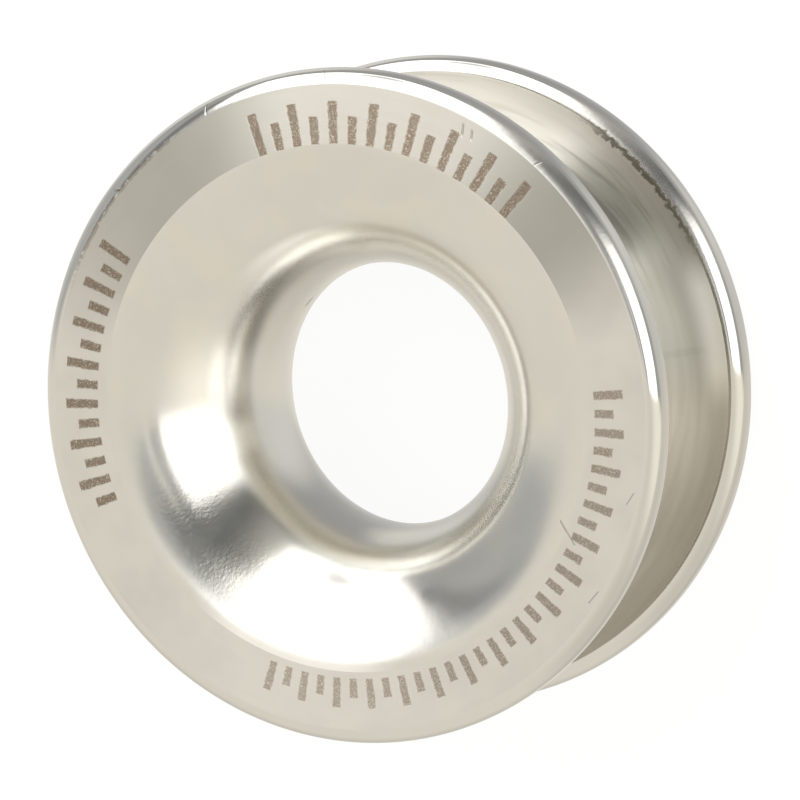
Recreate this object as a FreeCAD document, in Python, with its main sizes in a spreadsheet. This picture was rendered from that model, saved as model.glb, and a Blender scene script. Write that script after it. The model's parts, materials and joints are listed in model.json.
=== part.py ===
import FreeCAD, Part
import os
import Sketcher

# Low friction ring, turned from one piece of stainless steel, in millimetres.
# It lies on one end face with its bore upright along Z, and its middle is the origin.
# A loop of rope is seated in the outer groove, and the running line passes through the flared bore.

DIMENSIONS = {
    "ring_diameter": 20.0,       # over the crests of the two rims
    "bore_diameter": 8.0,        # at the narrowest place of the throat
    "throat_straight": 0.2,      # short cylindrical stretch between the two flares
    "face_land": 1.75,           # flat band of an end face, between its flare and its rim corner
    "rim_thickness": 1.1,        # from an end face to the wall of the rope groove
    "groove_width": 5.7,         # across the half-round rope groove, from wall to wall
    "groove_depth": 3.4,         # below the crests at the middle of the groove
    "rim_corner_radius": 0.45,   # rounded corner between an end face and a crest
    "groove_edge_radius": 0.45,  # rounded edge between a crest and the groove
}

# Sizes that follow from the driving ones, as the sketches read them from the spreadsheet
RING_RADIUS = "Dimensions.ring_diameter / 2"
RING_WIDTH = "(Dimensions.groove_width + 2 * Dimensions.rim_thickness)"
MOUTH_RADIUS = f"{RING_RADIUS} - Dimensions.rim_corner_radius - Dimensions.face_land"
GROOVE_CENTRE_RADIUS = f"{RING_RADIUS} - Dimensions.groove_depth + Dimensions.groove_width / 2"

# A rounding takes at most this share of a rim's thickness, so that a crest is left between two
ROUNDED_SHARE = 0.45

# The ends and the centre of a line or an arc in a sketch, and the sketch's own axes and origin
START, END, CENTRE = range(1, 4)
LEVEL_AXIS, UPRIGHT_AXIS = -1, -2
ORIGIN = (-1, 1)


def make_sheet(doc):
    """The spreadsheet of driving dimensions, each under its own name."""
    sheet = doc.addObject("Spreadsheet::Sheet", "Dimensions")
    for row, (name, value) in enumerate(DIMENSIONS.items(), start=1):
        sheet.set(f"A{row}", name)
        sheet.set(f"B{row}", str(value))
        sheet.setAlias(f"B{row}", name)
    doc.recompute()
    return sheet


def section_sketch(body, name):
    """An empty sketch on the plane that holds the ring's axis: across is the radius, up is Z."""
    plane = next(item for item in body.Origin.OriginFeatures if item.Role == "XZ_Plane")
    sketch = body.newObject("Sketcher::SketchObject", name)
    sketch.AttachmentSupport = (plane, [""])
    sketch.MapMode = "FlatFace"
    return sketch


def line(start, end):
    return Part.LineSegment(FreeCAD.Vector(*start, 0), FreeCAD.Vector(*end, 0))


def arc(start, middle, end):
    """An arc through three places. In a sketch it has to run counter-clockwise."""
    return Part.Arc(*(FreeCAD.Vector(*place, 0) for place in (start, middle, end)))


def draw_outline(sketch, pieces):
    """Draw a closed outline, each piece joined to the next, and return the pieces' numbers."""
    numbers = [sketch.addGeometry(piece, False) for piece in pieces]
    for here, following in zip(numbers, numbers[1:] + numbers[:1]):
        sketch.addConstraint(Sketcher.Constraint("Coincident", here, END, following, START))
    return numbers


def relate(sketch, kind, *elements):
    """Add a constraint that has no size."""
    sketch.addConstraint(Sketcher.Constraint(kind, *elements))


def dimension(sketch, name, kind, elements, drawn_size, expression):
    """Add a named dimension at the size it is drawn, and tie it to the spreadsheet."""
    number = sketch.addConstraint(Sketcher.Constraint(kind, *elements, drawn_size))
    sketch.renameConstraint(number, name)
    sketch.setExpression(f"Constraints.{name}", expression)


def revolve(body, kind, name, sketch):
    """Turn a sketch all the way round the ring's axis, to add metal or to cut it away."""
    feature = body.newObject(kind, name)
    feature.Profile = sketch
    feature.ReferenceAxis = (sketch, ["V_Axis"])
    feature.Angle = 360.0
    body.Document.recompute()
    return feature


def turn_blank(body):
    """The plain disc that the ring is turned from."""
    sketch = section_sketch(body, "BlankSection")
    bottom, outside, top, axis = draw_outline(sketch, [
        line((0, -4), (10, -4)),
        line((10, -4), (10, 4)),
        line((10, 4), (0, 4)),
        line((0, 4), (0, -4)),
    ])
    relate(sketch, "Horizontal", bottom)
    relate(sketch, "Horizontal", top)
    relate(sketch, "PointOnObject", axis, START, UPRIGHT_AXIS)
    relate(sketch, "PointOnObject", axis, END, UPRIGHT_AXIS)
    relate(sketch, "Symmetric", outside, START, outside, END, LEVEL_AXIS)
    dimension(sketch, "ring_radius", "DistanceX", (*ORIGIN, outside, START), 10, RING_RADIUS)
    dimension(sketch, "ring_width", "DistanceY", (outside, START, outside, END), 8, RING_WIDTH)
    return revolve(body, "PartDesign::Revolution", "TurnedBlank", sketch)


def cut_flared_throat(body):
    """The bore: a short straight throat that opens through an arc onto each end face."""
    sketch = section_sketch(body, "ThroatSection")
    top, upper_side, upper_flare, throat, lower_flare, lower_side, bottom, axis = draw_outline(sketch, [
        line((0, 5), (8, 5)),
        line((8, 5), (8, 4)),
        arc((8, 4), (5, 3), (4, 0.5)),
        line((4, 0.5), (4, -0.5)),
        arc((4, -0.5), (5, -3), (8, -4)),
        line((8, -4), (8, -5)),
        line((8, -5), (0, -5)),
        line((0, -5), (0, 5)),
    ])
    for level in (top, bottom):
        relate(sketch, "Horizontal", level)
    for side in (upper_side, lower_side):
        relate(sketch, "Vertical", side)
    # Each flare's centre is level with its end of the throat, so the two meet without a corner
    relate(sketch, "Horizontal", upper_flare, CENTRE, throat, START)
    relate(sketch, "Horizontal", lower_flare, CENTRE, throat, END)
    relate(sketch, "PointOnObject", axis, START, UPRIGHT_AXIS)
    relate(sketch, "PointOnObject", axis, END, UPRIGHT_AXIS)
    relate(sketch, "Symmetric", throat, START, throat, END, LEVEL_AXIS)
    relate(sketch, "Symmetric", upper_side, END, lower_side, START, LEVEL_AXIS)
    relate(sketch, "Equal", upper_side, lower_side)
    dimension(sketch, "bore_radius", "DistanceX", (*ORIGIN, throat, START), 4,
              "Dimensions.bore_diameter / 2")
    dimension(sketch, "throat_straight", "DistanceY", (throat, END, throat, START), 1,
              "Dimensions.throat_straight")
    dimension(sketch, "mouth_radius", "DistanceX", (*ORIGIN, upper_side, END), 8, MOUTH_RADIUS)
    dimension(sketch, "mouth_to_mouth", "DistanceY", (lower_side, START, upper_side, END), 8,
              RING_WIDTH)
    # The cut starts a rim's thickness outside the end face, clear of the metal
    dimension(sketch, "overrun", "DistanceY", (upper_side, END, upper_side, START), 1,
              "Dimensions.rim_thickness")
    return revolve(body, "PartDesign::Groove", "FlaredThroat", sketch)


def cut_rope_groove(body):
    """The hollow round the outside that a loop of rope is seated in: half round, with short walls."""
    sketch = section_sketch(body, "RopeGrooveSection")
    hollow, lower_wall, outside, upper_wall = draw_outline(sketch, [
        arc((9.5, 3), (6.5, 0), (9.5, -3)),
        line((9.5, -3), (13, -3)),
        line((13, -3), (13, 3)),
        line((13, 3), (9.5, 3)),
    ])
    relate(sketch, "Horizontal", lower_wall)
    relate(sketch, "Horizontal", upper_wall)
    relate(sketch, "Vertical", outside)
    # Both ends of the hollow lie straight above and below its centre, so the walls run into it
    relate(sketch, "PointOnObject", hollow, CENTRE, LEVEL_AXIS)
    relate(sketch, "Vertical", hollow, START, hollow, CENTRE)
    relate(sketch, "Vertical", hollow, START, hollow, END)
    dimension(sketch, "groove_width", "DistanceY", (hollow, END, hollow, START), 6,
              "Dimensions.groove_width")
    dimension(sketch, "centre_radius", "DistanceX", (*ORIGIN, hollow, CENTRE), 9.5,
              GROOVE_CENTRE_RADIUS)
    # Walls as long as the groove is deep end half a groove's width outside the crests
    dimension(sketch, "wall_length", "DistanceX", (upper_wall, END, upper_wall, START), 3.5,
              "Dimensions.groove_depth")
    return revolve(body, "PartDesign::Groove", "RopeGroove", sketch)


def crest_edges(shape, radius, lowest, highest):
    """The circular edges of this radius whose height above or below the middle is in this range."""
    nearness = 1e-4
    return [
        f"Edge{number}"
        for number, edge in enumerate(shape.Edges, start=1)
        if isinstance(edge.Curve, Part.Circle)
        and abs(edge.Curve.Radius - radius) < nearness
        and lowest - nearness < abs(edge.Curve.Center.z) < highest - nearness
    ]


def round_edges(body, name, base, edges, size_name):
    """Round the same edge of both rims."""
    if len(edges) != 2:
        raise RuntimeError(f"{name} found {len(edges)} edges instead of two")
    feature = body.newObject("PartDesign::Fillet", name)
    feature.Base = (base, edges)
    feature.setExpression("Radius", f"min(Dimensions.{size_name}; "
                                    f"{ROUNDED_SHARE} * Dimensions.rim_thickness)")
    body.Document.recompute()
    return feature


def check_features(doc, body, cuts, roundings):
    """Every object is sound, each cut has taken metal away and each rounding only a little."""
    for item in doc.Objects:
        if "Invalid" in item.State or "Error" in item.State:
            raise RuntimeError(f"{item.Label} failed: {item.State}")
    for feature in cuts + roundings:
        before = feature.BaseFeature.Shape.Volume
        most = before / 10 if feature in roundings else before
        if not 0 < before - feature.Shape.Volume < most:
            raise RuntimeError(f"{feature.Label} left {feature.Shape.Volume} of {before} cubic mm")
    shape = body.Shape
    if shape.isNull() or not shape.isValid() or len(shape.Solids) != 1:
        raise RuntimeError(f"{body.Label} is not one sound solid")


def make_ring(doc, sheet):
    """The whole ring, in the order in which it is turned."""
    body = doc.addObject("PartDesign::Body", "Ring")
    body.Label = "ring"
    crest_radius = sheet.ring_diameter / 2
    face_height = sheet.groove_width / 2 + sheet.rim_thickness
    face_and_above = (face_height, 2 * face_height)
    below_face = (0, face_height)

    turn_blank(body)
    throat = cut_flared_throat(body)
    groove = cut_rope_groove(body)
    lips = round_edges(body, "GrooveLips", groove,
                       crest_edges(groove.Shape, crest_radius, *below_face), "groove_edge_radius")
    corners = round_edges(body, "RimCorners", lips,
                          crest_edges(lips.Shape, crest_radius, *face_and_above), "rim_corner_radius")
    check_features(doc, body, [throat, groove], [lips, corners])
    return body


def main():
    doc = FreeCAD.newDocument("LowFrictionRing")
    ring = make_ring(doc, make_sheet(doc))
    os.makedirs("parts", exist_ok=True)
    ring.Shape.exportStep(f"parts/{ring.Label}.step")
    box = ring.Shape.optimalBoundingBox(False)
    print(f"{ring.Label}: {box.XLength:.2f} by {box.YLength:.2f} by {box.ZLength:.2f} mm, "
          f"{ring.Shape.Volume:.1f} cubic mm")


if __name__ == "__main__":
    main()
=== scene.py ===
import json
from functools import reduce
from itertools import pairwise
from math import atan2, cos, hypot, pi, radians, sin, tau
from operator import mul

import bpy
from bpy.props import FloatProperty, FloatVectorProperty, IntProperty, PointerProperty
from bpy.types import Operator, Panel, PropertyGroup
from mathutils import Euler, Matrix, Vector


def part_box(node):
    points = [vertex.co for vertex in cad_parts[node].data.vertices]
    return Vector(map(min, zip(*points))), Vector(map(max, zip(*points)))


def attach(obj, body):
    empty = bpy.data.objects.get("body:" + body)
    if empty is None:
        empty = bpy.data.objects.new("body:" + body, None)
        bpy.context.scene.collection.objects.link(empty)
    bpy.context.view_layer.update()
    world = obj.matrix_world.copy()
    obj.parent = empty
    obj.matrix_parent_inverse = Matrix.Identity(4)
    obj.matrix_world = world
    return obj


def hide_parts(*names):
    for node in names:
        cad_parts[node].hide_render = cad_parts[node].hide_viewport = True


# A low friction ring, turned from one piece of stainless steel, on a pale studio floor.
# The shapes are in metres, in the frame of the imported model: the bore runs along Z.
# The finishes are given in millimetres, in microns of height and in degrees anticlockwise from +X.

bl_info = {
    "name": "Low Friction Ring",
    "version": (1, 0, 0),
    "blender": (4, 5, 0),
    "location": "3D View > Sidebar > Ring",
    "description": "Turns a low friction ring, finishes its steel and sets it in a studio",
    "category": "Add Mesh",
}

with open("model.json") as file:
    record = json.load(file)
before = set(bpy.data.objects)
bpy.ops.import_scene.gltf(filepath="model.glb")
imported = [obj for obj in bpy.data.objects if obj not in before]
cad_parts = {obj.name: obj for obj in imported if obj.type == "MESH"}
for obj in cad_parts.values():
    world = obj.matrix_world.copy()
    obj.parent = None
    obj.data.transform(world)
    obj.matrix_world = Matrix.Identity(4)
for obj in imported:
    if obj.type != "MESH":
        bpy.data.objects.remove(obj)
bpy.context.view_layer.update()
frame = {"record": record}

MM = 0.001
MICRON = 1e-6
HAIR = 0.01 * MM
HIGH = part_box("ring")[1]
MOUNTS = {mount["name"]: mount for mount in frame["record"]["mounts"]}


# The ring's finish

# Laser marks of one arc: its first and last angle, its lowest and highest radius, how many bars
# it has and how deep their brown is
MARKED_ARCS = (
    (47, 111, 7.80, 9.05, 15, 1.0),
    (148, 204, 8.10, 9.18, 14, 1.0),
    (-108, 8, 8.00, 8.90, 31, 0.78),
)
BAR_SHARE = 0.44        # of the way from one bar to the next
SHORT_BAR_LOSS = 0.35   # of a bar's length
BAR_WANDER = 0.30       # how raggedly the bars are burnt

# Scratches: the radius and angle at which each starts, those at which it ends, and its width.
# The first one runs from the upper flare on to the upper face.
FACE_SCRATCHES = (
    (7.49, -22.0, 8.20, -25.3, 0.05),
    (9.33, 65.4, 9.02, 64.8, 0.06),
    (9.29, 63.4, 9.05, 62.9, 0.06),
    (9.40, -11.5, 9.25, -14.0, 0.04),
    (9.45, -30.5, 9.38, -33.5, 0.04),
)
FLARE_SCRATCHES = FACE_SCRATCHES[:1]
RIM_NICKS = (
    (9.62, 117.2, 9.84, 116.6, 0.07),
    (9.66, 93.0, 9.90, 93.6, 0.06),
    (9.60, 50.5, 9.78, 50.0, 0.06),
    (9.58, 139.5, 9.70, 140.5, 0.06),
)

# Patches of the upper half: the middle angle, how far round to both sides each is full and where
# it has ended, its lowest and highest radius, how softly it ends there, and how strong it is
# Painted shade: darker sectors of the upper face, where its dark reflections fall
PAINTED_SHADE_FACE = (
    (136, 8.0, 37.8, 7.7, 9.9, 0.15, 0.75),
    (43, 4.0, 26.9, 7.7, 9.9, 0.15, 1.0),
)
# A darker tint over the top of the upper face
DARKER_FACE_TOP = ((80, 6.9, 34.4, 7.7, 9.9, 0.15, 1.0),)
# Painted shade: a darker patch in the upper throat on one side
PAINTED_SHADE_FLARE = ((140, 6.9, 41.3, 4.25, 4.70, 0.20, 0.55),)
PITTED_FLARE = ((-139, 4.6, 29.8, 5.3, 7.0, 0.50, 1.0),)
# Painted highlights: brighter bands and patches on the upper flare
PAINTED_HIGHLIGHT_PATCHES = (
    (-80, 8.0, 35.5, 4.62, 5.20, 0.12, 1.0),
    (108, 4.6, 34.4, 4.52, 5.30, 0.14, 1.0),
    (172, 4.0, 15.5, 4.28, 4.95, 0.20, 1.0),
    (-163, 1.7, 9.7, 4.28, 4.72, 0.14, 1.0),
    (-103, 11.5, 29.8, 7.30, 8.20, 0.24, 1.0),
)

# What becomes of the steel's red, green and blue: shares, above one where it is brighter
TINTS = {
    "blotched_face": (0.92, 0.92, 0.92),
    # Darker over the top of the face
    "washed_face": (0.84, 0.83, 0.81),
    "lightly_burnt": (0.80, 0.74, 0.66),
    # Real scratches, and the painted shade line at the upper face's edge
    "scratched": (0.45, 0.42, 0.40),
    "mottled_flare": (0.96, 0.96, 0.96),
    "clouded_flare": (0.95, 0.955, 0.945),
    "hazy_flare": (1.02, 1.0, 0.95),
    # Painted highlight and painted dark bands and patches of the flare
    "bright_flare": (1.33, 1.35, 1.38),
    "dull_flare": (0.84, 0.84, 0.84),
    "mottled_rim": (0.97, 0.97, 0.97),
    "shaded_rim": (0.83, 0.83, 0.82),
    "nicked": (0.50, 0.50, 0.50),
    # The burr's dark, also used for the painted shade line at the upper rim's edge
    "burr": (0.34, 0.31, 0.27),
    "groove": (0.90, 0.885, 0.845),
    "groove_streak": (0.83, 0.81, 0.765),
    "groove_shade": (0.56, 0.555, 0.50),
    # Painted light on the groove's lower wall
    "groove_wall": (1.25, 1.24, 1.20),
    # Painted light over the upper part of the groove
    "clean_groove": (1.28, 1.27, 1.23),
    "clean_groove_band": (1.06, 1.04, 0.99),
    "clean_groove_top": (0.90, 0.89, 0.84),
    "clean_groove_streak": (0.80, 0.78, 0.72),
}
FLECK = (0.90, 0.90, 0.88)


# The studio, as it is seen from the ring

# Flat panels far away: how softly each ends, and the longitude and latitude of its corners in
# degrees. Nought is back towards the camera, and less is to the left or down.
PANELS = {
    "gap": (0.075, ((-42, -3), (-14, 1), (60, 36), (70, 58), (0, 74), (-42, 20))),
    "smear": (0.07, ((-66, 1), (-58, 1), (-72, 34), (-86, 34))),
    "slit": (0.01, ((-20, -12), (-15, -12), (-12, 6), (-16, 6))),
    "near_box": (0.015, ((-4, -16), (57, -16), (57, 34), (-4, 12.5))),
    "high_box": (0.02, ((-48, -12), (-36.5, 1.8), (-26, 16), (-9, 46), (10, 67), (30, 78), (-70, 78),
                        (-115, 66), (-110, 55))),
    "notch": (0.04, ((-66, 56), (-46, 56), (-44, 70), (-70, 70))),
}
NOTCH_DIM = 0.75                  # how much of the high softbox's light its notch takes
GAP_FOOT = ((-5, 13), (60, 36))   # two places on the lower edge of the gap between the softboxes

WALL = (0.52, 0.53, 0.54)
CEILING = (0.42, 0.425, 0.43)
BACK_WALL = (0.70, 0.695, 0.675)
BACK_LIGHT = (0.84, 0.835, 0.81)
RIGHT_WALL = (0.80, 0.80, 0.78)
GAP_LEFT = (0.175, 0.18, 0.18)
GAP_RIGHT = (0.125, 0.13, 0.13)
GAP_TOP = (0.52, 0.51, 0.49)
SMEAR = (0.24, 0.245, 0.25)
SLIT = (0.92, 0.92, 0.90)
TABLE_BEHIND, TABLE_LIT = 0.80, 1.47   # shares of the table's colour
TABLE_TILT = radians(10)               # of the table's edge, down towards the camera

FLOOR_GLOW = 1.03    # how brightly the floor shines to the camera
FLOOR_SHARE = 0.88   # of the floor that shines, where the rest takes the ring's shadow
FLOOR_SIZE = 400 * MM
AIM = (0.078 * MM, -0.193 * MM, 0)   # what the camera looks at, from the ring's middle
SENSOR = 36


class RingSizes(PropertyGroup):
    """The sizes of the ring's section."""

    crest_radius: FloatProperty(
        name="Crest Radius", description="Radius over the crests of the two rims",
        default=HIGH[0], unit="LENGTH", precision=5)
    half_width: FloatProperty(
        name="Half Width", description="From the middle of the ring to an end face",
        default=HIGH[2], unit="LENGTH", precision=5)
    bore_radius: FloatProperty(
        name="Bore Radius", description="Radius at the narrowest place of the throat",
        default=MOUNTS["bore"]["dims"]["r_mm"] * MM, unit="LENGTH", precision=5)
    throat_straight: FloatProperty(
        name="Throat Straight", description="Short cylinder between the two flares",
        default=MOUNTS["bore"]["dims"]["length_mm"] * MM, unit="LENGTH", precision=5)
    face_land: FloatProperty(
        name="Face Land", description="Flat band of an end face, from its flare to its rim corner",
        default=1.75 * MM, unit="LENGTH", precision=5)
    rim_corner: FloatProperty(
        name="Rim Corner", description="Radius of the corner between an end face and a crest",
        default=0.45 * MM, unit="LENGTH", precision=5)
    groove_lip: FloatProperty(
        name="Groove Lip", description="Radius of the edge between a crest and the groove",
        default=0.45 * MM, unit="LENGTH", precision=5)
    groove_floor: FloatProperty(
        name="Groove Floor", description="Radius at the deepest place of the rope groove",
        default=MOUNTS["rope_groove"]["dims"]["r_mm"] * MM, unit="LENGTH", precision=5)
    groove_width: FloatProperty(
        name="Groove Width", description="Across the rope groove, from wall to wall",
        default=MOUNTS["rope_groove"]["dims"]["length_mm"] * MM, unit="LENGTH", precision=5)
    around: IntProperty(
        name="Steps Around", description="Steps that the section is spun in", default=320, min=24)
    flare_steps: IntProperty(
        name="Flare Steps", description="Steps round each flare of the bore", default=32, min=4)
    corner_steps: IntProperty(
        name="Corner Steps", description="Steps round each corner and lip of a rim", default=12, min=3)
    groove_steps: IntProperty(
        name="Groove Steps", description="Steps round each half of the rope groove", default=28, min=4)


class SteelFinish(PropertyGroup):
    """The steel, and how each band of the ring is finished."""

    steel: FloatVectorProperty(
        name="Steel", description="What the bare steel reflects", subtype="COLOR",
        default=(0.74, 0.72, 0.67), min=0, max=1)
    mark: FloatVectorProperty(
        name="Mark", description="Steel tempered brown by the marking laser", subtype="COLOR",
        default=(0.27, 0.215, 0.165), min=0, max=1)
    # Darker steel: painted shade on the upper face and throat, and the stain of a real nick
    stain_and_shade: FloatVectorProperty(
        name="Stain", description="Steel dulled by handling and by rope", subtype="COLOR",
        default=(0.44, 0.43, 0.39), min=0, max=1)
    face_roughness: FloatProperty(
        name="Face Roughness", description="Roughness of the turned end faces",
        default=0.15, min=0, max=1, subtype="FACTOR")
    flare_roughness: FloatProperty(
        name="Flare Roughness", description="Roughness of the polished flares",
        default=0.15, min=0, max=1, subtype="FACTOR")
    rim_roughness: FloatProperty(
        name="Rim Roughness", description="Roughness of the buffed rims",
        default=0.08, min=0, max=1, subtype="FACTOR")
    groove_roughness: FloatProperty(
        name="Groove Roughness", description="Roughness of the turned rope groove",
        default=0.40, min=0, max=1, subtype="FACTOR")

    def tint(self, name):
        """The bare steel's colour in one of the tints."""
        return [part * share for part, share in zip(self.steel, TINTS[name])]


class StudioSettings(PropertyGroup):
    """Where the camera stands, and how bright the studio is."""

    camera_swing: FloatProperty(
        name="Camera Swing", description="Turn of the camera about Y, from straight overhead",
        default=radians(24.52), subtype="ANGLE", unit="ROTATION")
    camera_tip: FloatProperty(
        name="Camera Tip", description="Tip of the camera about X, after its swing",
        default=radians(-7.69), subtype="ANGLE", unit="ROTATION")
    camera_distance: FloatProperty(
        name="Camera Distance", description="From the camera to the middle of the ring",
        default=133.9 * MM, unit="LENGTH")
    lens: FloatProperty(
        name="Lens", description="Focal length in millimetres", default=200.12, min=1)
    backdrop: FloatVectorProperty(
        name="Backdrop", description="Colour behind the ring", subtype="COLOR",
        default=(1.0, 1.0, 1.0), min=0, max=1)
    table: FloatVectorProperty(
        name="Table", description="Cream board on the side that the camera stands low over",
        subtype="COLOR", default=(0.885, 0.855, 0.785), min=0, max=1)
    softbox: FloatProperty(
        name="Softbox", description="Brightness of the two softboxes", default=2.0, min=0)


class Value:
    """A socket of a recipe. Reckoning with it adds Math nodes."""

    def __init__(self, recipe, socket):
        self.recipe, self.socket = recipe, socket

    def reckon(self, operation, *operands):
        """Add a Math node that works on these operands."""
        node = self.recipe.add("ShaderNodeMath", {"operation": operation}, dict(enumerate(operands)))
        return node["Value"]

    def __add__(self, other):
        return self.reckon("ADD", self, other)

    def __radd__(self, other):
        return self.reckon("ADD", other, self)

    def __sub__(self, other):
        return self.reckon("SUBTRACT", self, other)

    def __rsub__(self, other):
        return self.reckon("SUBTRACT", other, self)

    def __mul__(self, other):
        return self.reckon("MULTIPLY", self, other)

    def __rmul__(self, other):
        return self.reckon("MULTIPLY", other, self)

    def __truediv__(self, other):
        return self.reckon("DIVIDE", self, other)

    def __rtruediv__(self, other):
        return self.reckon("DIVIDE", other, self)

    def __pow__(self, other):
        return self.reckon("POWER", self, other)

    def __abs__(self):
        return self.reckon("ABSOLUTE", self)

    def at_least(self, other):
        """The larger of this and another value."""
        return self.reckon("MAXIMUM", self, other)

    def fraction(self):
        """What is left above the whole number below it."""
        return self.reckon("FRACT", self)

    def swing(self, width):
        """Noise from nought to one, made to swing about nought over a width."""
        return (self - 0.5) * width

    def rise(self, start, end):
        """Nought below start, one above end, and a smooth rise between them."""
        return self.recipe.add(
            "ShaderNodeMapRange", {"interpolation_type": "SMOOTHSTEP"},
            {"Value": self, "From Min": start, "From Max": end})["Result"]

    def fall(self, start, end):
        """One below start, nought above end, and a smooth fall between them."""
        return 1 - self.rise(start, end)

    def within(self, low, high, edge):
        """One between low and high, with a smooth edge half inside and half outside each."""
        return self.rise(low - edge, low + edge) * self.fall(high - edge, high + edge)


def strongest(values):
    """The largest of several values."""
    return reduce(Value.at_least, values)


class Made:
    """A node that a recipe has added. An output is asked for by its name."""

    def __init__(self, recipe, node):
        self.recipe, self.node = recipe, node

    def __getitem__(self, output):
        return Value(self.recipe, self.node.outputs[output])


class Recipe:
    """The node tree of a material or a world."""

    def __init__(self, owner):
        owner.use_nodes = True
        self.tree = owner.node_tree
        self.tree.nodes.clear()

    def add(self, kind, settings=None, inputs=None):
        """Add a node: its settings first, then the values or links of its sockets."""
        node = self.tree.nodes.new(kind)
        for name, setting in (settings or {}).items():
            setattr(node, name, setting)
        for name, value in (inputs or {}).items():
            if isinstance(value, Value):
                self.tree.links.new(value.socket, node.inputs[name])
            else:
                node.inputs[name].default_value = value
        return Made(self, node)

    def mix(self, factor, first, second):
        """A colour between two colours, which are the Mix node's sockets 6 and 7."""
        first, second = (colour if isinstance(colour, Value) else (*colour, 1.0)
                         for colour in (first, second))
        return self.add("ShaderNodeMix", {"data_type": "RGBA"},
                        {"Factor": factor, 6: first, 7: second})[2]

    def layered(self, colour, *layers):
        """A colour with others laid over it in turn, each given after its factor."""
        for factor, over in layers:
            colour = self.mix(factor, colour, over)
        return colour


class Place(Recipe):
    """A recipe that reads where on the ring it is: from the axis, round it and up it."""

    def __init__(self, material):
        super().__init__(material)
        point = self.add("ShaderNodeTexCoord")["Object"]
        self.point = self.add("ShaderNodeVectorMath", {"operation": "SCALE"},
                              {"Vector": point, "Scale": 1 / MM})["Vector"]
        parts = self.add("ShaderNodeSeparateXYZ", None, {"Vector": self.point})
        self.x, self.y, self.z = (parts[axis] for axis in "XYZ")
        self.radius = (self.x * self.x + self.y * self.y) ** 0.5
        self.upper = self.z.rise(0, 0.5)

    def beside(self, angle):
        """How far round the axis it is from an angle, less than nought clockwise of it."""
        turn = radians(angle)
        ahead = self.x * cos(turn) + self.y * sin(turn)
        aside = self.y * cos(turn) - self.x * sin(turn)
        return aside.reckon("DEGREES", aside.reckon("ARCTAN2", aside, ahead))

    def near(self, angle, full, ended):
        """One as far as full to both sides of an angle, and nought from where it has ended."""
        return abs(self.beside(angle)).fall(full, ended)

    def patches(self, rows):
        """The patches of a table, on the upper half."""
        return strongest(
            self.near(angle, full, ended) * self.radius.within(low, high, edge) * strength
            for angle, full, ended, low, high, edge, strength in rows) * self.upper

    def scratch(self, start_radius, start_angle, end_radius, end_angle, width):
        """A straight scratch between two places."""
        (x0, y0), (x1, y1) = (
            (radius * cos(radians(angle)), radius * sin(radians(angle)))
            for radius, angle in ((start_radius, start_angle), (end_radius, end_angle)))
        length = hypot(x1 - x0, y1 - y0)
        east, north = (x1 - x0) / length, (y1 - y0) / length
        along = (self.x - x0) * east + (self.y - y0) * north
        across = (self.y - y0) * east - (self.x - x0) * north
        past = abs(along - length / 2) - length / 2
        return abs(across).fall(width * 0.3, width * 0.7) * past.fall(-width, width)

    def scratches(self, rows):
        """The scratches of a table, on the upper half."""
        return strongest(self.scratch(*row) for row in rows) * self.upper

    def noise(self, scale, detail=2.0):
        """Noise with so many grains to a millimetre."""
        return self.add("ShaderNodeTexNoise", {"noise_dimensions": "3D"},
                        {"Vector": self.point, "Scale": scale, "Detail": detail})["Fac"]

    def rings(self, scale, around, detail=2.0):
        """Noise drawn out round the ring: lines to a millimetre, and how much they change round it."""
        share = around / self.radius
        vector = self.add("ShaderNodeCombineXYZ", None, {
            "X": self.x * share, "Y": self.y * share, "Z": self.z * scale})["Vector"]
        return self.add("ShaderNodeTexNoise", {"noise_dimensions": "4D"},
                        {"Vector": vector, "W": self.radius * scale, "Scale": 1.0,
                         "Detail": detail})["Fac"]

    def steel(self, colour, roughness, anisotropy, height):
        """The steel itself. Its fine grooves run round the axis, so its gleam is drawn across them."""
        normal = self.add("ShaderNodeBump", None,
                          {"Strength": 1.0, "Distance": MICRON, "Height": height})["Normal"]
        surface = self.add("ShaderNodeBsdfPrincipled", None, {
            "Base Color": colour, "Metallic": 1.0, "Roughness": roughness,
            "Anisotropic": anisotropy, "Anisotropic Rotation": 0.25, "Normal": normal})
        self.add("ShaderNodeOutputMaterial", None, {"Surface": surface["BSDF"]})


def laser_marks(place):
    """Bars that a laser has burnt into the upper face, every other one short."""
    wander = place.noise(7, 3.0).swing(BAR_WANDER)
    reach = place.radius + wander * 0.15
    arcs = []
    for first, last, low, high, bars, depth in MARKED_ARCS:
        half = (last - first) / 2
        offset = place.beside((first + last) / 2)
        count = (offset + half) * (bars / (2 * half))
        short = (count * 0.5).fraction().rise(0.499, 0.501)
        top = high - short * (high - low) * SHORT_BAR_LOSS
        from_middle = abs(count.fraction() - 0.5) + wander * 0.5
        bar = from_middle.fall(BAR_SHARE / 2 - 0.05, BAR_SHARE / 2 + 0.05)
        tall = reach.rise(low - 0.02, low + 0.02) * (reach - top).fall(-0.02, 0.02)
        arcs.append(bar * tall * abs(offset).fall(half - 0.1, half) * depth)
    return strongest(arcs) * place.upper


def painted_edge_shade(place):
    """Painted shade: a ragged dark line where the upper face meets its rim."""
    grains = place.noise(4.2, 3.0)
    edge = place.radius + grains.swing(0.16)
    return (place.near(141, 9.2, 22.9) * edge.rise(9.47, 9.51) * edge.fall(9.59, 9.63)
            * place.z.rise(3, 3.5) * grains.rise(0.34, 0.52))


def lip_burr(place):
    """The ragged edge left on the groove's lips on one side, and the grains that it is made of."""
    grains = place.noise(5.5, 3.0)
    reach = place.radius + grains.swing(0.40)
    edge = reach.rise(9.42, 9.48) * reach.fall(9.58, 9.66)
    lips = abs(place.z).rise(2.6, 2.7) * abs(place.z).fall(3.1, 3.3)
    return place.near(43, 9.2, 20.6) * edge * lips, grains


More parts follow.
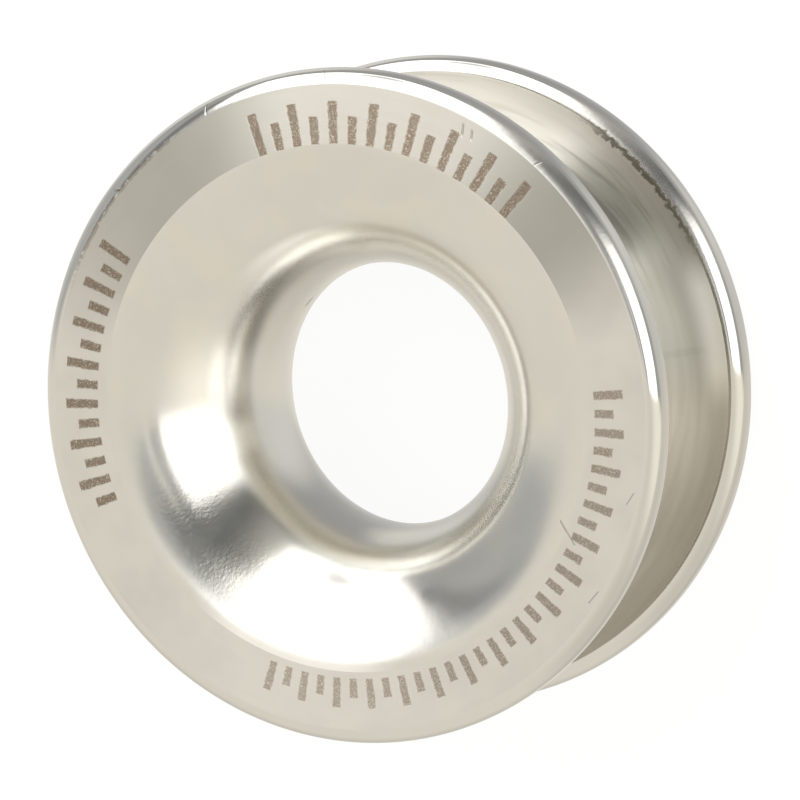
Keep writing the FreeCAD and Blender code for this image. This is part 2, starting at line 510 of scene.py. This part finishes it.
def painted_throat_bands(place):
    """Painted light in the upper throat on one side: a painted highlight band and a painted dark band
    by it.
    """
    lean = radians(15)
    swing = (place.x * cos(lean) + place.y * sin(lean)) * 0.70 / place.radius
    band = place.radius - swing
    side = place.near(30, 54.4, 71.6) * place.upper
    return (band.rise(4.22, 4.48) * band.fall(4.56, 4.80) * side,
            band.rise(4.62, 4.86) * band.fall(4.92, 5.16) * side)


def throat_nick(place):
    """A small nick at the middle of the throat."""
    return (place.near(139, 1.7, 3.4) * place.radius.fall(4.2, 4.3)
            * abs(place.z + 0.15).fall(0.06, 0.14))


def finish_face(material, finish):
    """The end faces: turned to a satin and blotched, with laser marks, painted shade and a darker top
    on the upper one.
    """
    place = Place(material)
    marks = laser_marks(place)
    scratches = place.scratches(FACE_SCRATCHES)
    lines = place.rings(14, 4.0)
    blotch = place.noise(0.7, 3.0)
    cloud = place.noise(0.26)
    hatch = place.noise(30, 1.0)
    burnt = place.mix(hatch.rise(0.56, 0.68), finish.mark, finish.tint("lightly_burnt"))
    colour = place.layered(
        finish.steel,
        (blotch.rise(0.3, 0.8), finish.tint("blotched_face")),
        (place.patches(DARKER_FACE_TOP), finish.tint("washed_face")),
        # Painted shade over two sectors of the upper face
        (place.patches(PAINTED_SHADE_FACE) * (0.75 + cloud * 0.5), finish.stain_and_shade),
        (marks, burnt),
        # Real scratches, and a painted shade line at the face's edge
        ((scratches * 0.45).at_least(painted_edge_shade(place) * 0.7), finish.tint("scratched")))
    roughness = finish.face_roughness + lines.swing(0.06) + blotch.swing(0.04) + marks * 0.16
    height = lines * 0.16 + blotch * 0.7 + marks * (hatch - 0.9) * 4 - scratches * 6
    place.steel(colour, roughness, 0.9, height)


def finish_flare(material, finish):
    """The flares: polished along the curve, with fine pits and a nick in them, and painted highlights
    and shade on the upper one.
    """
    place = Place(material)
    rings = place.rings(7, 3.0, 3.0)
    mottle = place.noise(1.6, 3.0)
    cloud = place.noise(0.33)
    haze = place.noise(0.75, 3.0)
    pits = place.noise(9)
    throat = place.radius.fall(4.6, 5.9)
    scratches, nick = place.scratches(FLARE_SCRATCHES), throat_nick(place)
    # Painted light: a highlight band and a dark band in the upper throat
    wear_and_painted_sheen, painted_dark_band = painted_throat_bands(place)
    pitted = place.patches(PITTED_FLARE)
    flecks = (pits - cloud * 0.2).rise(0.50, 0.60) * pitted
    colour = place.layered(
        finish.steel,
        (mottle, finish.tint("mottled_flare")),
        (cloud.rise(0.35, 0.70), finish.tint("clouded_flare")),
        (haze.rise(0.45, 0.70) * 0.6, finish.tint("hazy_flare")),
        # Painted highlight bands and patches
        (wear_and_painted_sheen.at_least(place.patches(PAINTED_HIGHLIGHT_PATCHES)), finish.tint("bright_flare")),
        # A painted dark band
        (painted_dark_band, finish.tint("dull_flare")),
        # Painted shade in the upper throat, and the real nick, in the darker steel
        (place.patches(PAINTED_SHADE_FLARE).at_least(nick * 0.8), finish.stain_and_shade),
        (scratches * 0.45, finish.tint("scratched")),
        (flecks * 0.5, FLECK))
    roughness = (finish.flare_roughness + throat * 0.075 + mottle.swing(0.06) + rings.swing(0.04)
                 + pitted * 0.04)
    height = (rings * (0.35 + throat * 0.5) + mottle * 1.6 + pits * (0.25 + pitted * 3.0)
              - (scratches + nick) * 6)
    place.steel(colour, roughness, 0.2, height)


def finish_rim(material, finish):
    """The crests, corners and lips of the rims: buffed bright."""
    place = Place(material)
    mottle = place.noise(1.2, 3.0)
    rings = place.rings(7, 3.0, 3.0)
    burr, grains = lip_burr(place)
    # Wear that roughens and grains the rims on one side
    wear_and_painted_sheen = place.near(45, 17.2, 28.6)
    nicks = place.scratches(RIM_NICKS)
    shaded = place.near(-12, 25.8, 45.8) * place.radius.rise(9.56, 9.85)
    colour = place.layered(
        finish.steel,
        (mottle, finish.tint("mottled_rim")),
        (shaded, finish.tint("shaded_rim")),
        (nicks * 0.6, finish.tint("nicked")),
        # The real burr, and a painted shade line at the upper face's edge
        ((burr * 0.9).at_least(painted_edge_shade(place) * 0.85), finish.tint("burr")))
    roughness = finish.rim_roughness + mottle.swing(0.06) + burr * 0.04 + wear_and_painted_sheen * 0.14
    height = mottle * 2.0 + rings * 0.15 + (burr * 4 + wear_and_painted_sheen * 1.5) * grains - nicks * 3
    place.steel(colour, roughness, 0.3, height)


def finish_groove(material, finish):
    """The rope groove: left as turned, with streaks that run round it."""
    place = Place(material)
    streaks = place.rings(5.2, 3.0, 4.0)
    broad = place.rings(1.5, 2.0)
    lines = place.rings(16, 4.0)
    burr, grains = lip_burr(place)
    # Painted light over the upper part of the groove, which is also smoother and less streaked there
    painted_light_patch = place.near(72, 25.8, 48.7)
    dark = place.near(23, 13.2, 29.2).at_least(place.near(-45, 17.2, 37.2) * 0.35)
    line = place.near(9.5, 0.46, 1.15)
    # Painted light on the lower wall of the groove on one side
    painted_light_wall = place.near(13, 6.9, 17.2) * place.z.fall(-1, 0) * place.radius.rise(8.6, 9.3)
    brown = place.layered(
        finish.tint("groove"),
        (streaks.rise(0.3, 0.7), finish.tint("groove_streak")),
        (dark * 0.85 + line * 0.15, finish.tint("groove_shade")),
        (painted_light_wall, finish.tint("groove_wall")))
    # The colours of the painted light
    painted_light_colour = place.layered(
        finish.tint("clean_groove"),
        (broad.rise(0.4, 0.7), finish.tint("clean_groove_band")),
        (place.near(90, 22.9, 35.5) * 0.8, finish.tint("clean_groove_top")),
        (streaks.rise(0.48, 0.64) * 0.7, finish.tint("clean_groove_streak")))
    colour = place.layered(brown, (painted_light_patch, painted_light_colour), (burr * 0.9, finish.tint("burr")))
    roughness = finish.groove_roughness + streaks.swing(0.12) - painted_light_patch * 0.05
    height = streaks * (1.6 - painted_light_patch * 0.8) + lines * 0.4 + burr * grains * 4
    place.steel(colour, roughness, 0.95, height)


FINISHES = {
    "satin_face": finish_face,
    "polished_flare": finish_flare,
    "buffed_rim": finish_rim,
    "turned_groove": finish_groove,
}


def start_section(radius):
    """One vertex at the middle of the throat, in edit mode, to draw the section from."""
    bpy.ops.object.select_all(action="DESELECT")
    bpy.ops.mesh.primitive_plane_add(size=MM, location=(radius, 0, 0))
    ring = bpy.context.object
    bpy.ops.object.transform_apply(location=True, rotation=True, scale=True)
    bpy.ops.object.mode_set(mode="EDIT")
    bpy.ops.mesh.merge(type="CENTER")
    return ring


def run(outward, upward, steps=1):
    """Carry the section on in a straight line."""
    for _ in range(steps):
        bpy.ops.mesh.extrude_vertices_move(
            TRANSFORM_OT_translate={"value": (outward / steps, 0, upward / steps)})


def sweep(centre, angle, steps):
    """Carry the section on clockwise round a centre, given as its radius and its height."""
    radius, height = centre
    bpy.ops.mesh.spin(steps=steps, angle=-angle, center=(radius, 0, height), axis=(0, 1, 0))


def draw_half_section(sizes):
    """The upper half of the section, from the middle of the throat to the middle of the groove."""
    ring = start_section(sizes.bore_radius)
    corner, lip = sizes.rim_corner, sizes.groove_lip
    throat_half = sizes.throat_straight / 2
    half_groove = sizes.groove_width / 2
    mouth_radius = sizes.crest_radius - corner - sizes.face_land
    flare_out, flare_up = mouth_radius - sizes.bore_radius, sizes.half_width - throat_half
    flare_radius = (flare_out ** 2 + flare_up ** 2) / (2 * flare_out)
    flare_angle = atan2(flare_up, flare_radius - flare_out)
    hold = 2 * HAIR

    run(0, throat_half)
    sweep((sizes.bore_radius + flare_radius, throat_half), flare_angle, sizes.flare_steps)
    # A narrow step at each end of the land keeps it flat between its smoothed edges
    run(hold, 0)
    run(sizes.face_land - 2 * hold, 0, steps=4)
    run(hold, 0)
    sweep((sizes.crest_radius - corner, sizes.half_width - corner), pi / 2, sizes.corner_steps)
    run(0, half_groove + lip - (sizes.half_width - corner))
    sweep((sizes.crest_radius - lip, half_groove + lip), pi / 2, sizes.corner_steps)
    groove_centre = sizes.groove_floor + half_groove
    run(groove_centre - (sizes.crest_radius - lip), 0)
    sweep((groove_centre, 0), -pi / 2, sizes.groove_steps)
    bpy.ops.object.mode_set(mode="OBJECT")
    return ring


def mirror_and_spin(ring, around):
    """Mirror the half section, spin it round the bore's axis and close the seam."""
    bpy.ops.object.modifier_add(type="MIRROR")
    mirror = ring.modifiers[-1]
    mirror.use_axis = (False, False, True)
    mirror.merge_threshold = MICRON
    bpy.ops.object.modifier_apply(modifier=mirror.name)
    bpy.ops.object.mode_set(mode="EDIT")
    bpy.ops.mesh.select_all(action="SELECT")
    bpy.ops.mesh.spin(steps=around, angle=tau, center=(0, 0, 0), axis=(0, 0, 1))
    bpy.ops.mesh.select_all(action="SELECT")
    bpy.ops.mesh.remove_doubles(threshold=MICRON)
    bpy.ops.mesh.normals_make_consistent(inside=False)
    bpy.ops.mesh.faces_shade_smooth()
    bpy.ops.object.mode_set(mode="OBJECT")


def finish_of(place, sizes):
    """The name of the finish at a place on the ring."""
    radius, height = hypot(place.x, place.y), abs(place.z)
    corner_start = sizes.crest_radius - sizes.rim_corner
    if (sizes.groove_floor - HAIR < radius < sizes.crest_radius - sizes.groove_lip
            and height < sizes.groove_width / 2 + HAIR):
        return "turned_groove"
    if radius < corner_start - sizes.face_land:
        return "polished_flare"
    if radius < corner_start and height > sizes.half_width - HAIR:
        return "satin_face"
    return "buffed_rim"


def put_on_finishes(ring, sizes, finish):
    """Give each band of the ring its own steel."""
    for number, (name, finish_band) in enumerate(FINISHES.items()):
        material = bpy.data.materials.new(name)
        finish_band(material, finish)
        ring.data.materials.append(material)
        for face in ring.data.polygons:
            if finish_of(face.center, sizes) == name:
                face.material_index = number


class RING_OT_turn_ring(Operator):
    """Turn the ring from its section and finish its steel"""

    bl_idname = "ring.turn_ring"
    bl_label = "Turn the Ring"

    def execute(self, context):
        sizes, finish = context.scene.ring_sizes, context.scene.ring_finish
        ring = draw_half_section(sizes)
        mirror_and_spin(ring, sizes.around)
        ring.name = ring.data.name = "turned_ring"
        put_on_finishes(ring, sizes, finish)
        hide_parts("ring")
        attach(ring, "root")
        return {"FINISHED"}


def towards(longitude, latitude):
    """A direction in the studio: nought is back to the camera, and less is to the left or down."""
    longitude, latitude = radians(longitude), radians(latitude)
    return Vector((sin(longitude) * cos(latitude), sin(latitude), cos(longitude) * cos(latitude)))


class Surroundings(Recipe):
    """A recipe for the world round the ring. X is to the camera's right, Y up and Z back to it."""

    def __init__(self, world, turn):
        super().__init__(world)
        self.turn = turn
        self.looked_in = self.add("ShaderNodeTexCoord")["Generated"]

    def along(self, direction):
        """How far the direction that is looked in runs along another."""
        return self.add("ShaderNodeVectorMath", {"operation": "DOT_PRODUCT"},
                        {0: self.looked_in, 1: tuple(self.turn @ direction)})["Value"]

    def lobe(self, direction, full, ended):
        """One up to full from a direction, nought from where it has ended, both in degrees."""
        return self.along(direction).rise(cos(radians(ended)), cos(radians(full)))

    def panel(self, name):
        """One inside a panel and nought outside it."""
        edge, corners = PANELS[name]
        ways = [towards(*corner) for corner in corners]
        return reduce(mul, (self.along(here.cross(following).normalized()).rise(-edge, edge)
                            for here, following in pairwise([*ways, ways[0]])))


def dimmed(colour, share):
    """A colour taken to a share of its brightness."""
    return [part * share for part in colour]


def light_studio(world, studio, turn):
    """A grey room with two softboxes over a cream table, all far away."""
    room = Surroundings(world, turn)
    across, up, toward = (room.along(Vector(axis)) for axis in ((1, 0, 0), (0, 1, 0), (0, 0, 1)))
    down, behind = up * -1, (toward * -1).rise(0.0, 0.8)
    box = (studio.softbox,) * 3

    left, right = (towards(*place) for place in GAP_FOOT)
    over_foot = room.along(left.cross(right).normalized())
    gap = room.layered(
        GAP_LEFT,
        (across.rise(-0.34, -0.13), GAP_RIGHT),
        (over_foot.rise(0.16, 0.55), GAP_TOP))

    lit = across.rise(-0.15, 0.65) * (down - across * 0.2).fall(0.2, 0.7) * toward.rise(0.05, 0.4)
    table = room.layered(
        studio.table,
        (behind * down.rise(0.1, 0.6), dimmed(studio.table, TABLE_BEHIND)),
        (lit, dimmed(studio.table, TABLE_LIT)))
    below = down * cos(TABLE_TILT) - toward * sin(TABLE_TILT)
    soft, sharp = below.rise(-0.02, 0.12), below.rise(-0.012, 0.012)

    colour = room.layered(
        WALL,
        (up.rise(0.1, 0.85), CEILING),
        (behind * up.fall(0.1, 0.6), BACK_WALL),
        (room.lobe(towards(-150, 38), 11.5, 28.4), BACK_LIGHT),
        (room.lobe(towards(112, 12), 18.2, 40.5), RIGHT_WALL),
        (room.panel("gap"), gap),
        (room.panel("smear"), SMEAR),
        (room.panel("slit"), SLIT),
        (room.panel("near_box"), box),
        (room.panel("high_box") * (1 - room.panel("notch") * NOTCH_DIM), box),
        (soft + (sharp - soft) * toward.rise(0.2, 0.55), table),
        (room.add("ShaderNodeLightPath")["Is Camera Ray"], studio.backdrop))
    background = room.add("ShaderNodeBackground", None, {"Color": colour, "Strength": 1.0})
    room.add("ShaderNodeOutputWorld", None, {"Surface": background["Background"]})


def lay_floor(half_width, studio):
    """A plain pale floor that the ring lies on. The steel shows the studio through it."""
    bpy.ops.object.select_all(action="DESELECT")
    bpy.ops.mesh.primitive_plane_add(size=FLOOR_SIZE, location=(0, 0, -half_width))
    floor = bpy.context.object
    bpy.ops.object.transform_apply(location=True, rotation=True, scale=True)
    floor.name = floor.data.name = "studio_floor"
    material = bpy.data.materials.new("pale_floor")
    recipe = Recipe(material)
    colour = (*studio.backdrop, 1.0)
    seen = recipe.add("ShaderNodeLightPath")["Is Camera Ray"]
    light = recipe.add("ShaderNodeEmission", None, {"Color": colour, "Strength": FLOOR_GLOW})
    plain = recipe.add("ShaderNodeBsdfDiffuse", None, {"Color": colour})
    surface = recipe.add("ShaderNodeMixShader", None,
                         {0: seen * FLOOR_SHARE, 1: plain["BSDF"], 2: light["Emission"]})
    recipe.add("ShaderNodeOutputMaterial", None, {"Surface": surface["Shader"]})
    floor.data.materials.append(material)
    floor.visible_glossy = floor.visible_shadow = False


def stand_camera(scene, studio, turn):
    """A long lens that looks down on the ring from one side."""
    place = Vector(AIM) + Vector((0, 0, studio.camera_distance))
    bpy.ops.object.camera_add(location=turn @ place, rotation=turn.to_euler())
    camera = bpy.context.object
    camera.name = camera.data.name = "long_lens"
    camera.data.sensor_width = SENSOR
    camera.data.lens = studio.lens
    camera.data.clip_start = MM
    camera.data.dof.use_dof = False
    scene.camera = camera


class RING_OT_set_studio(Operator):
    """Lay the floor, light the studio and stand the camera"""

    bl_idname = "ring.set_studio"
    bl_label = "Set the Studio"

    def execute(self, context):
        scene, studio = context.scene, context.scene.ring_studio
        turn = Euler((studio.camera_tip, studio.camera_swing, 0)).to_matrix()
        lay_floor(scene.ring_sizes.half_width, studio)
        scene.world = bpy.data.worlds.new("studio")
        light_studio(scene.world, studio, turn)
        stand_camera(scene, studio, turn)
        scene.view_settings.view_transform = "Standard"
        return {"FINISHED"}


class RING_PT_ring(Panel):
    """The ring's sizes, finish and studio"""

    bl_label = "Low Friction Ring"
    bl_space_type = "VIEW_3D"
    bl_region_type = "UI"
    bl_category = "Ring"

    def draw(self, context):
        scene = context.scene
        for settings, operator in ((scene.ring_sizes, None), (scene.ring_finish, RING_OT_turn_ring),
                                   (scene.ring_studio, RING_OT_set_studio)):
            column = self.layout.column()
            for name in settings.__annotations__:
                column.prop(settings, name)
            if operator:
                column.operator(operator.bl_idname)


CLASSES = (RingSizes, SteelFinish, StudioSettings, RING_OT_turn_ring, RING_OT_set_studio, RING_PT_ring)
SETTINGS = {"ring_sizes": RingSizes, "ring_finish": SteelFinish, "ring_studio": StudioSettings}


def register():
    for kind in CLASSES:
        bpy.utils.register_class(kind)
    for name, kind in SETTINGS.items():
        setattr(bpy.types.Scene, name, PointerProperty(type=kind))


def unregister():
    for name in SETTINGS:
        delattr(bpy.types.Scene, name)
    for kind in reversed(CLASSES):
        bpy.utils.unregister_class(kind)


def main():
    register()
    bpy.ops.ring.turn_ring()
    bpy.ops.ring.set_studio()


if __name__ == "__main__":
    main()
